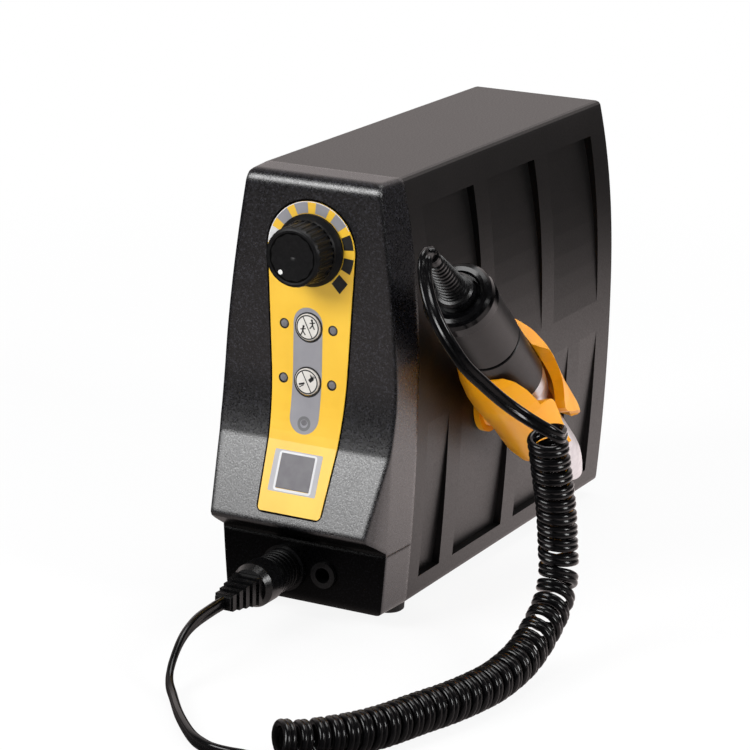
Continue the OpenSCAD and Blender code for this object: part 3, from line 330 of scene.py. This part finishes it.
def cordRoute():
    # centreline points of the lead, the frames of the curls, and points of the tail
    spec = cordSpec
    first, final = coilFrame(0), coilFrame(len(coilRoute) - 1)
    startPoint = first[0] + first[2] * spec["coilR"]
    endPoint = final[0] + final[2] * curlR(coilRoute[-1][3])
    base, along = toolAxis()
    bootEnd = base + along * spec["bootTip"]
    runOut = spec["runOut"]
    leadEnds = bootEnd + along * runOut, startPoint - first[3] * runOut
    leadRoute = [leadEnds[0], *(Vector(p) for p in leadPoints), leadEnds[1]]
    lead = [bootEnd] + curvePoints(leadRoute, spec["stepsPerPoint"])
    plugEnd = Vector(spec["plugEnd"])
    tailEnds = endPoint + final[3] * runOut, plugEnd - Vector((0, spec["plugRun"], 0))
    tailRoute = [tailEnds[0], *(Vector(p) for p in tailPoints), tailEnds[1]]
    tail = curvePoints(tailRoute, spec["stepsPerPoint"]) + [plugEnd]
    count = round(coilRoute[-1][3] * spec["stepsPerTurn"])
    curls = [coilFrame(routeAt(k / spec["stepsPerTurn"])) for k in range(count + 1)]
    return lead, curls, tail


def cordPath():
    # centreline points with the direction of the cord's wide side and its width at each
    spec = cordSpec
    lead, curls, tail = cordRoute()
    points = lead + [f[0] + f[2] * curlR(k / spec["stepsPerTurn"]) for k, f in enumerate(curls)] + tail
    lengths = [0.0]
    for a, b in zip(points, points[1:]):
        lengths.append(lengths[-1] + (b - a).length)
    firstCurl, lastCurl = len(lead), len(lead) + len(curls) - 1
    coilFrom, coilTo = lengths[firstCurl], lengths[lastCurl]
    wides, widths = {}, {}
    # outwards from the coil, so that each section keeps the turn of the one before
    order = [*range(firstCurl, lastCurl + 1), *range(firstCurl - 1, -1, -1)]
    order += range(lastCurl + 1, len(points))
    for i in order:
        run = (points[min(i + 1, len(points) - 1)] - points[max(i - 1, 0)]).normalized()
        s = lengths[i]
        inCurl = curls[min(max(i - firstCurl, 0), len(curls) - 1)][1]
        if i < firstCurl:
            plain, near = run.cross(Vector(spec["leadFacing"])), wides[i + 1][1]
            share = 1 - (coilFrom - s) / spec["turnOver"]
        elif i > lastCurl:
            plain, near = run.cross(Vector(spec["tailFacing"])), wides[i - 1][1]
            share = 1 - (s - coilTo) / spec["turnOver"]
        else:
            plain, near, share = inCurl, inCurl, 1
        plain = plain.normalized()
        if plain.dot(near) < 0:
            plain = -plain
        share = min(max(share, 0), 1)
        share = share * share * (3 - 2 * share)
        wide = plain.lerp(inCurl, share)
        wide = (wide - run * wide.dot(run)).normalized()
        wides[i] = (run, wide)
        widths[i] = spec["width"] + (spec["curlWidth"] - spec["width"]) * share
    return points, wides, widths, lengths[-1]


def twinSection(width, thick, web, steps):
    # two ridges side by side with a web between them
    r = thick / 2
    middle = width / 2 - r
    notch = math.asin(min(1, web / r))
    right = [(middle + r * math.cos(a), r * math.sin(a))
             for a in [-(math.pi - notch) + 2 * (math.pi - notch) * k / steps for k in range(steps + 1)]]
    return right + [(-x, -y) for x, y in right]


def buildCord():
    points, wides, widths, length = cordPath()
    bm = bmesh.new()
    rings = []
    for i, p in enumerate(points):
        run, wide = wides[i]
        thin = run.cross(wide)
        section = twinSection(widths[i], cordSpec["thick"], cordSpec["web"], cordSpec["ridgeSteps"])
        rings.append([bm.verts.new(rowPoint(*(p + wide * x + thin * y))) for x, y in section])
    for a, b in zip(rings, rings[1:]):
        for j in range(len(a)):
            k = (j + 1) % len(a)
            bm.faces.new((a[j], a[k], b[k], b[j]))
    bm.faces.new(list(reversed(rings[0])))
    bm.faces.new(rings[-1])
    cord = finishPiece("twinCord", bm, "cord_black", None, 50)
    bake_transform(cord)
    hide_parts("cord_lead", "curly_cord", "cord_tail")
    print("stage: cord", round(length), "mm")


buildCord()


def labelY(z, lift):
    # y of the label's front at a height, moved out by lift
    out = label["thick"] + lift
    r, centreY = case["sweepR"], case["faceY"] - case["sweepR"]
    crease = math.asin((case["sweepZ"] - case["creaseZ"]) / r)
    drop = case["sweepZ"] - z
    if drop <= 0:
        return case["faceY"] - out
    if drop < (r - out) * math.sin(crease):
        return centreY + math.sqrt((r - out) ** 2 - drop ** 2)
    top = (centreY + (r - out) * math.cos(crease), case["sweepZ"] - (r - out) * math.sin(crease))
    slope = math.tan(math.radians(case["chinAngle"]))
    footZ = label["low"] - 1
    foot = (centreY + r * math.cos(crease) - slope * (case["creaseZ"] - footZ) - out, footZ - out / 2)
    return foot[0] + (top[0] - foot[0]) * (z - foot[1]) / (top[1] - foot[1])


def printShape(name, outlines, material, lift):
    # flat shapes (x, z) laid on the label's curve, each outline filled
    bm = bmesh.new()
    for outline in outlines:
        bm.faces.new([bm.verts.new((x, 0, z)) for x, z in outline])
    bmesh.ops.triangulate(bm, faces=bm.faces)
    heights = [v.co.z for v in bm.verts]
    level = math.floor(min(heights))
    while level < min(max(heights), case["sweepZ"] + 1):
        everything = bm.verts[:] + bm.edges[:] + bm.faces[:]
        bmesh.ops.bisect_plane(bm, geom=everything, plane_co=(0, 0, level), plane_no=(0, 0, 1))
        level += printSpec["slice"]
    bmesh.ops.triangulate(bm, faces=bm.faces)
    for v in bm.verts:
        v.co = rowPoint(v.co.x, labelY(v.co.z, lift), v.co.z)
    return finishPiece(name, bm, material, "console")


def ringOutlines(centre, inner, outer, start, end, steps):
    # a band between two radii as four-sided shapes, angles clockwise from the top
    shapes = []
    for k in range(steps):
        a, b = (math.radians(start + (end - start) * (k + d) / steps) for d in (0, 1))
        shapes.append([(centre[0] + r * math.sin(t), centre[1] + r * math.cos(t))
                       for r, t in ((inner, a), (outer, a), (outer, b), (inner, b))])
    return shapes


def arcPoints(x, z, r, start, end, step):
    # points on an arc, angles in degrees anticlockwise from the right
    angles = [math.radians(start + step * k) for k in range(round((end - start) / step) + 1)]
    return [(x + r * math.cos(a), z + r * math.sin(a)) for a in angles]


def roundedBox(x0, x1, z0, z1, r):
    corners = [(x1 - r, z1 - r, 0), (x0 + r, z1 - r, 90), (x0 + r, z0 + r, 180), (x1 - r, z0 + r, 270)]
    return [p for x, z, a in corners for p in arcPoints(x, z, r, a, a + 90, 15)]


def bandBetween(outer, inner):
    n = len(outer)
    return [[outer[i], outer[(i + 1) % n], inner[(i + 1) % n], inner[i]] for i in range(n)]


def stroke(x0, z0, x1, z1, width):
    # a straight line of that width as four corners
    run = Vector((x1 - x0, z1 - z0)).normalized() * width / 2
    return [(x0 - run.y, z0 + run.x), (x0 + run.y, z0 - run.x),
            (x1 + run.y, z1 - run.x), (x1 - run.y, z1 + run.x)]


def labelEdge(inset):
    half, foot, low = label["half"] - inset, label["footHalf"] - inset, label["low"] + inset
    r = max(label["cornerR"] - inset, 0.6)
    arc = arcPoints(0, label["knobZ"], half, 0, 180, 6)
    left = arcPoints(-foot + r, low + r, r, 180, 270, 15)
    right = arcPoints(foot - r, low + r, r, 270, 360, 15)
    return arc + left + right


# the label's gap band is moved left and the keys' black rings right and down as painted shadow; the pale
# arc along the label's top is a painted highlight
printSpec = {"slice": 1.5, "gap": 0.85, "gapIn": 0.3, "gapShadeShift": -0.15, "rim": (0.3, 0.03, -88, 60),
             "scaleIn": 14.7, "scaleOut": 19.0, "scaleWide": 9.5, "greys": [-45, -15, 15.5, 44],
             "blacks": [74, 104.5], "pales": [-76, -104, -134],
             "diamond": [(12.7, -8.2), (16.5, -11.6), (13.0, -16.0), (9.4, -12.3)],
             "capsule": (-6.7, 6.3, 76.6, 127.6), "capsuleTip": 0.05, "keyHole": 0.3,
             "displayUp": 15.5, "surround": (21.4, 16.9, 0.5), "line": (17.0, 16.0, 1.3),
             "window": (15.1, 14.1, 0.5), "keyGapShadow": (0.1, 0.8), "keyShadowShift": 0.15,
             "powerRing": (1.7, 2.9), "lampRing": (1.8, 2.1)}
# how far each shape stands in front of the label
printLift = {"gap": 0.08, "low": 0.05, "scale": 0.06, "line": 0.07, "ring": 0.08, "rim": 0.1}


def slopeOutline(width, height, r):
    # a rounded box on the chin's slope round the display, as x and height above the table
    centreZ = label["low"] + printSpec["displayUp"]
    flat = math.cos(math.radians(case["chinAngle"]))
    box = roundedBox(-width / 2, width / 2, -height / 2, height / 2, r)
    return [(panel["x"] + x, centreZ + z * flat) for x, z in box]


def capsuleRows():
    # the grey strip as rows of four-sided shapes that leave the button openings free
    x, hole = panel["x"], panel["buttonR"] + printSpec["keyHole"]
    left, right, low, high = printSpec["capsule"]
    half, middle = (right - left) / 2, x + (left + right) / 2
    buttons = (panel["directionZ"], panel["modeZ"])

    def chord(z, centre, r):
        return math.sqrt(max(r * r - (z - centre) ** 2, 0))

    def widths(z):
        outer = chord(z, min(max(z, low + half), high - half), half)
        return max(outer, printSpec["capsuleTip"]), max(chord(z, centre, hole) for centre in buttons)

    levels = {round(centre + r * math.sin(math.radians(a)), 3) for centre, r in
              ((buttons[0], hole), (buttons[1], hole), (low + half, half), (high - half, half))
              for a in range(-90, 91, 10)}
    levels = sorted(z for z in levels if low <= z <= high)
    shapes = []
    for a, b in zip(levels, levels[1:]):
        (wideA, holeA), (wideB, holeB) = widths(a), widths(b)
        for side in (-1, 1):
            shapes.append([(middle + side * wideA, a), (x + side * holeA, a), (x + side * holeB, b),
                           (middle + side * wideB, b)])
    return shapes


def buildPrint():
    spec, lift = printSpec, printLift
    x, centre, half = panel["x"], (0, label["knobZ"]), label["half"]
    # the black band round the label is its gap, moved left as painted shade where the recess wall lies in
    # shadow
    wide = [(px + spec["gapShadeShift"], z) for px, z in labelEdge(-spec["gap"])]
    labelGap = bandBetween(wide, labelEdge(spec["gapIn"]))
    printShape("labelGap", labelGap, "gap_black", lift["gap"] - label["thick"])
    # painted highlight: a pale line along the top of the label's outer edge, where the edge catches the
    # light
    rimIn, rimOut, rimFrom, rimTo = spec["rim"]
    labelEdgeHighlight = ringOutlines(centre, half - rimIn, half - rimOut, rimFrom, rimTo, 36)
    printShape("labelEdgeHighlight", labelEdgeHighlight, "painted_highlight_white", lift["low"])
    for name, angles, material in (("scaleGrey", spec["greys"], "print_grey"),
                                   ("scaleBlack", spec["blacks"], "print_black"),
                                   ("scalePale", spec["pales"], "print_pale")):
        shapes = []
        for a in angles:
            shapes += ringOutlines(centre, spec["scaleIn"], spec["scaleOut"], a - spec["scaleWide"],
                                   a + spec["scaleWide"], 4)
        printShape(name, shapes, material, lift["scale"])
    diamond = [(px, label["knobZ"] + z) for px, z in spec["diamond"]]
    printShape("scaleEnd", [diamond], "print_black", lift["scale"])
    printShape("capsule", capsuleRows(), "print_grey", lift["low"])
    surround, line, window = (slopeOutline(*spec[key]) for key in ("surround", "line", "window"))
    printShape("displaySurround", bandBetween(surround, line), "print_light", lift["low"])
    printShape("displayLine", bandBetween(line, window), "print_pale", lift["line"])
    rings = []
    # painted shadow: a black ring round each key, moved right and down, stands for the gap round the proud
    # key and the shadow it casts on the label
    for name, z in (("directionGapShadow", panel["directionZ"]), ("modeGapShadow", panel["modeZ"])):
        shadowCentre = (x + spec["keyShadowShift"], z - spec["keyShadowShift"])
        rim = ringOutlines(shadowCentre, *(panel["buttonR"] + r for r in spec["keyGapShadow"]), 0, 360, 40)
        printShape(name, rim, "print_black", lift["rim"])
        for side in (-1, 1):
            rings += ringOutlines((x + side * panel["lampX"], z), *spec["lampRing"], 0, 360, 28)
    powerRing = ringOutlines((x, panel["powerZ"]), *spec["powerRing"], 0, 360, 32)
    printShape("powerRing", powerRing, "print_dim", lift["ring"])
    printShape("lampRings", rings, "print_black", lift["ring"])
    print("stage: label print")


buildPrint()

knobSpec = {"length": 15, "gap": 0.3, "cup": 0.2, "dish": 0.07, "faceR": 10, "grooveIn": 9.25,
            "grooveOut": 9.9, "waves": 12, "wave": 0.2, "stepsPerWave": 10, "lift": 0.04}


def buildKnobGroove():
    # a dark groove with a wavy inner edge round the knob's face
    spec = knobSpec
    front = case["faceY"] - label["thick"] - spec["gap"] - spec["length"] + spec["cup"]
    bm = bmesh.new()
    steps = spec["waves"] * spec["stepsPerWave"]
    rings = []
    for k in range(steps):
        t = 2 * math.pi * k / steps
        inner = spec["grooveIn"] - spec["wave"] * math.cos(spec["waves"] * t)
        ring = []
        for r in (inner, spec["grooveOut"]):
            y = front + spec["dish"] * (spec["faceR"] - r) - spec["lift"]
            ring.append(bm.verts.new(rowPoint(r * math.cos(t), y, label["knobZ"] + r * math.sin(t))))
        rings.append(ring)
    for a, b in zip(rings, rings[1:] + rings[:1]):
        bm.faces.new((a[0], b[0], b[1], a[1]))
    finishPiece("knobGroove", bm, "gap_black", "speed_knob")


buildKnobGroove()

lineSpec = {"radius": 14.05, "edges": (28.7, 29.42), "steps": 72}


def buildCapLine():
    # the dark joint where the rear cap meets the upper sleeve
    bm = bmesh.new()
    rings = []
    for k in range(lineSpec["steps"]):
        t = 2 * math.pi * k / lineSpec["steps"]
        rings.append([bm.verts.new(toolPoint(lineSpec["radius"], t, s)) for s in lineSpec["edges"]])
    for a, b in zip(rings, rings[1:] + rings[:1]):
        bm.faces.new((a[0], b[0], b[1], a[1]))
    finishPiece("capLine", bm, "gap_black", "handpiece")


buildCapLine()

markSpec = {"lift": 0.05, "rim": (4.5, 5.0), "rimSteps": 40}


def buttonMarks(name, z, body, marks):
    front = labelY(z, 0) - panel["proud"] - markSpec["lift"]
    bm = bmesh.new()
    for mark in marks:
        bm.faces.new([bm.verts.new(rowPoint(panel["x"] + x, front, z + h)) for x, h in mark])
    return finishPiece(name, bm, "print_black", body)


def figureMarks(x, z, lean):
    # a tiny striding figure
    head = arcPoints(x + lean * 0.2, z + 1.75, 0.52, 0, 315, 45)
    trunk = stroke(x, z + 1.3, x - lean * 0.1, z - 0.3, 0.7)
    arms = stroke(x - 1.2, z + 0.5, x + 1.2, z + 0.9, 0.42)
    foreLeg = stroke(x - lean * 0.1, z - 0.2, x + lean * 1.1, z - 1.7, 0.5)
    hindLeg = stroke(x - lean * 0.1, z - 0.2, x - lean * 1.0, z - 1.8, 0.5)
    return [head, trunk, arms, foreLeg, hindLeg]


def buildButtons():
    rim = ringOutlines((0, 0), *markSpec["rim"], 0, 360, markSpec["rimSteps"])
    shared = [stroke(-2.2, 4.3, 2.2, -4.3, 0.42)] + rim
    figures = figureMarks(-2.0, -1.5, 1) + figureMarks(2.1, 1.3, -1)
    buttonMarks("directionMarks", panel["directionZ"], "direction_key", shared + figures)
    foot = [stroke(-3.4, -1.4, -0.9, -0.6, 0.7), stroke(-3.2, -2.5, -1.3, -1.3, 0.4)]
    palm = [stroke(1.2, 0.4, 2.9, 1.9, 1.5)]
    fingers = [stroke(2.2, 1.6, 1.6 + 0.8 * k, 3.3 - 0.3 * k, 0.35) for k in range(4)]
    buttonMarks("modeMarks", panel["modeZ"], "mode_key", shared + foot + palm + fingers)
    print("stage: button marks")


buildButtons()

# floor, light and camera
studio = {"fill": 0.22, "fillColour": (0.92, 0.94, 1), "horizon": (0.07, 1.0),
          "horizonColour": (1, 0.9, 0.88), "horizonWay": (-0.447, 0.851, 0.278),
          "horizonSpread": (0.45, 0.95), "floorSize": 8, "paper": (0.90, 0.93), "paperCloud": 30,
          "paperRough": 0.9, "shadow": (0.9, 1.0), "shadowReach": (0.25, 0.75)}
mirrored = {"colour": (1, 0.88, 0.86), "side": 1.55, "sideAt": (0.16, 0.2, 0), "sideFade": (0.12, 0.5),
            "front": 0.55, "frontAt": (-0.15, -0.5, 0), "frontFade": (0.1, 0.36)}


def vectorNode(tree, operation, vector, other=None):
    # for the operations that give a number
    node = tree.nodes.new("ShaderNodeVectorMath")
    node.operation = operation
    tree.links.new(vector, node.inputs[0])
    if other:
        node.inputs[1].default_value = other
    return node.outputs["Value"]


def pickByRay(tree, ray, shaderA, shaderB):
    # shaderB is what rays of that kind meet, shaderA what the others meet
    path = tree.nodes.new("ShaderNodeLightPath")
    mix = tree.nodes.new("ShaderNodeMixShader")
    tree.links.new(path.outputs[ray], mix.inputs[0])
    tree.links.new(shaderA, mix.inputs[1])
    tree.links.new(shaderB, mix.inputs[2])
    return mix.outputs[0]


def paperMaterial():
    material = bpy.data.materials.new("floorPaper")
    material.use_nodes = True
    tree = material.node_tree
    coords = tree.nodes.new("ShaderNodeTexCoord")
    noise = tree.nodes.new("ShaderNodeTexNoise")
    noise.inputs["Scale"].default_value = studio["paperCloud"]
    tree.links.new(coords.outputs["Object"], noise.inputs["Vector"])
    ramp = tree.nodes.new("ShaderNodeValToRGB")
    for element, grey in zip(ramp.color_ramp.elements, studio["paper"]):
        element.color = (grey, grey, grey, 1)
    tree.links.new(noise.outputs["Fac"], ramp.inputs["Fac"])
    shader = tree.nodes["Principled BSDF"]
    shader.inputs["Roughness"].default_value = studio["paperRough"]
    tree.links.new(ramp.outputs["Color"], shader.inputs["Base Color"])
    # what the camera sees: white paper that keeps a faint shadow near the object
    glow = tree.nodes.new("ShaderNodeEmission")
    glow.inputs["Strength"].default_value = 1.0
    away = scaleNode(tree, vectorNode(tree, "LENGTH", coords.outputs["Object"]), studio["shadowReach"],
                     studio["shadow"])
    seen = tree.nodes.new("ShaderNodeMixShader")
    tree.links.new(away, seen.inputs[0])
    tree.links.new(shader.outputs[0], seen.inputs[1])
    tree.links.new(glow.outputs[0], seen.inputs[2])
    # what the glossy surfaces mirror: a lit warm patch beside the housing, dimmer paper in front
    patch = tree.nodes.new("ShaderNodeEmission")
    patch.inputs["Color"].default_value = (*mirrored["colour"], 1)
    side = scaleNode(tree, vectorNode(tree, "DISTANCE", coords.outputs["Object"], mirrored["sideAt"]),
                     mirrored["sideFade"], (mirrored["side"], 0))
    front = scaleNode(tree, vectorNode(tree, "DISTANCE", coords.outputs["Object"], mirrored["frontAt"]),
                      mirrored["frontFade"], (mirrored["front"], 0))
    tree.links.new(mathNode(tree, "ADD", side, front), patch.inputs["Strength"])
    surface = pickByRay(tree, "Is Glossy Ray", shader.outputs[0], patch.outputs[0])
    surface = pickByRay(tree, "Is Camera Ray", surface, seen.outputs[0])
    tree.links.new(surface, tree.nodes["Material Output"].inputs["Surface"])
    return material


def buildFloor():
    bm = bmesh.new()
    bmesh.ops.create_grid(bm, x_segments=1, y_segments=1, size=studio["floorSize"])
    mesh = bpy.data.meshes.new("floor")
    bm.to_mesh(mesh)
    bm.free()
    floor = bpy.data.objects.new("floor", mesh)
    bpy.context.scene.collection.objects.link(floor)
    mesh.materials.append(paperMaterial())


def buildWorld():
    world = bpy.data.worlds.new("studio")
    bpy.context.scene.world = world
    world.use_nodes = True
    tree = world.node_tree
    fill = tree.nodes["Background"]
    fill.inputs["Color"].default_value = (*studio["fillColour"], 1)
    fill.inputs["Strength"].default_value = studio["fill"]
    white = tree.nodes.new("ShaderNodeBackground")
    white.inputs["Color"].default_value = (1, 1, 1, 1)
    white.inputs["Strength"].default_value = 1
    horizon = tree.nodes.new("ShaderNodeBackground")
    horizon.inputs["Color"].default_value = (*studio["horizonColour"], 1)
    coords = tree.nodes.new("ShaderNodeTexCoord")
    facing = vectorNode(tree, "DOT_PRODUCT", coords.outputs["Generated"], studio["horizonWay"])
    strength = scaleNode(tree, facing, studio["horizonSpread"], studio["horizon"])
    tree.links.new(strength, horizon.inputs["Strength"])
    surface = pickByRay(tree, "Is Glossy Ray", fill.outputs[0], horizon.outputs[0])
    surface = pickByRay(tree, "Is Camera Ray", surface, white.outputs[0])
    tree.links.new(surface, tree.nodes["World Output"].inputs["Surface"])


lamps = {
    "key": {"at": (-0.66, -1.10, 0.86), "look": (0, 0, 0.09), "size": (0.75, 0.62), "power": 16.5},
    "top": {"at": (0.1, 0.3, 1.3), "look": (0, 0, 0.1), "size": (0.7, 0.7), "power": 8},
    "side": {"at": (1.3, -0.15, 0.75), "look": (0, 0, 0.1), "size": (0.4, 0.5), "power": 11},
}


def buildLamps():
    for name, spec in lamps.items():
        data = bpy.data.lights.new(name, "AREA")
        data.shape = "RECTANGLE"
        data.size, data.size_y = spec["size"]
        data.energy = spec["power"]
        lamp = bpy.data.objects.new(name, data)
        lamp.location = spec["at"]
        aim = Vector(spec["look"]) - Vector(spec["at"])
        lamp.rotation_mode = "QUATERNION"
        lamp.rotation_quaternion = aim.to_track_quat("-Z", "Y")
        bpy.context.scene.collection.objects.link(lamp)


view = {"at": (0.548634, -1.124355, 0.4403), "azimuth": 27.663, "elevation": 16.129, "roll": 1.202,
        "lens": 148.9, "sensor": 36, "clip": (0.05, 60)}


def buildCamera():
    spec = view
    a, e, roll = (math.radians(spec[k]) for k in ("azimuth", "elevation", "roll"))
    back = Vector((math.sin(a) * math.cos(e), -math.cos(a) * math.cos(e), math.sin(e)))
    right = Vector((math.cos(a), math.sin(a), 0))
    up = back.cross(right)
    axisX = right * math.cos(roll) + up * math.sin(roll)
    axisY = up * math.cos(roll) - right * math.sin(roll)
    data = bpy.data.cameras.new("camera")
    data.lens = spec["lens"]
    data.sensor_width = spec["sensor"]
    data.clip_start, data.clip_end = spec["clip"]
    camera = bpy.data.objects.new("camera", data)
    turn = Matrix((axisX, axisY, back)).transposed().to_4x4()
    camera.matrix_world = Matrix.Translation(Vector(spec["at"])) @ turn
    bpy.context.scene.collection.objects.link(camera)
    bpy.context.scene.camera = camera
    bpy.context.scene.view_settings.view_transform = "Standard"
    print("stage: camera")


buildFloor()
buildWorld()
buildLamps()
buildCamera()
